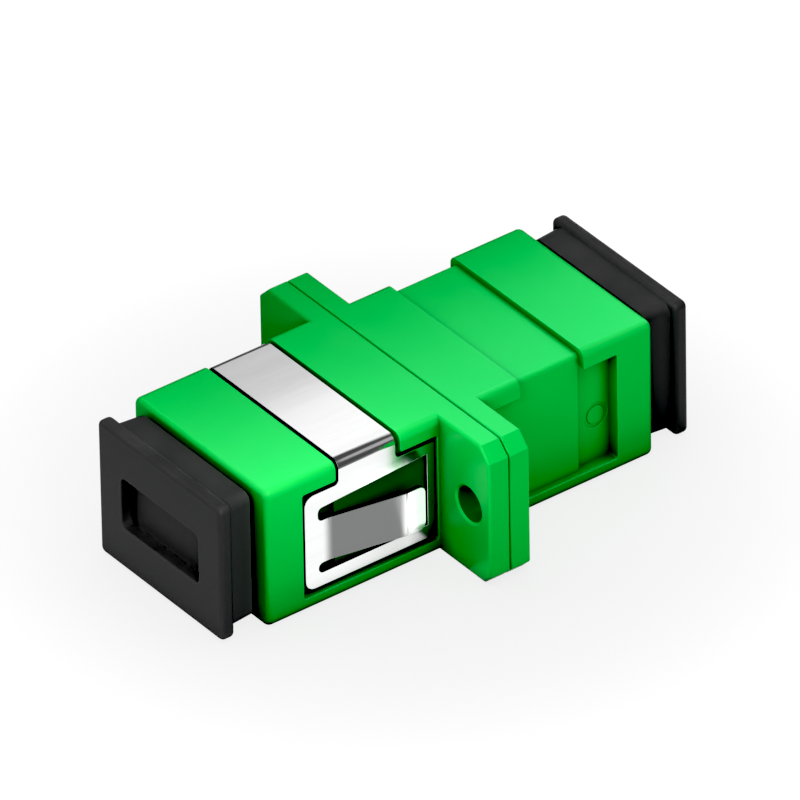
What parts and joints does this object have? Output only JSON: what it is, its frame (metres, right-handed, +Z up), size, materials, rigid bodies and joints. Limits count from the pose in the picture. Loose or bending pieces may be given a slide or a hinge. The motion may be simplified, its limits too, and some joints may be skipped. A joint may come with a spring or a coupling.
{
  "type": "fibre optic adapter",
  "caption": "Flanged simplex fibre optic adapter: green two-part casing, folded steel clip with side spring tongues, split sleeve inside and a black dust cap in each port.",
  "frame": {"origin": "on the optical axis, in the seam plane between the two casing halves", "axes": "+Y along the optical axis towards the rear port, +Z up through the face that the clip's strap crosses, +X towards one flange ear; the front port, with the clip, faces -Y"},
  "size_m": [0.0222, 0.0344, 0.0096],
  "materials": {
    "casing_green": "satin moulded",
    "insert_cream": "moulded",
    "sleeve_white": "ground",
    "clip_steel": "bright rolled",
    "cap_black": "satin moulded"
  },
  "bodies": {
    "adapter": {"front_housing": "casing_green", "rear_housing": "casing_green", "front_latch_insert": "insert_cream", "rear_latch_insert": "insert_cream", "split_sleeve": "sleeve_white", "metal_clip": "clip_steel"},
    "front_cap": {"front_dust_cap": "cap_black"},
    "rear_cap": {"rear_dust_cap": "cap_black"}
  },
  "joints": [
    {"name": "front_cap_pull", "type": "slide", "parent": "adapter", "child": "front_cap", "axis": [0, -1, 0], "range_m": [0, 0.012]},
    {"name": "rear_cap_pull", "type": "slide", "parent": "adapter", "child": "rear_cap", "axis": [0, 1, 0], "range_m": [0, 0.012]}
  ]
}
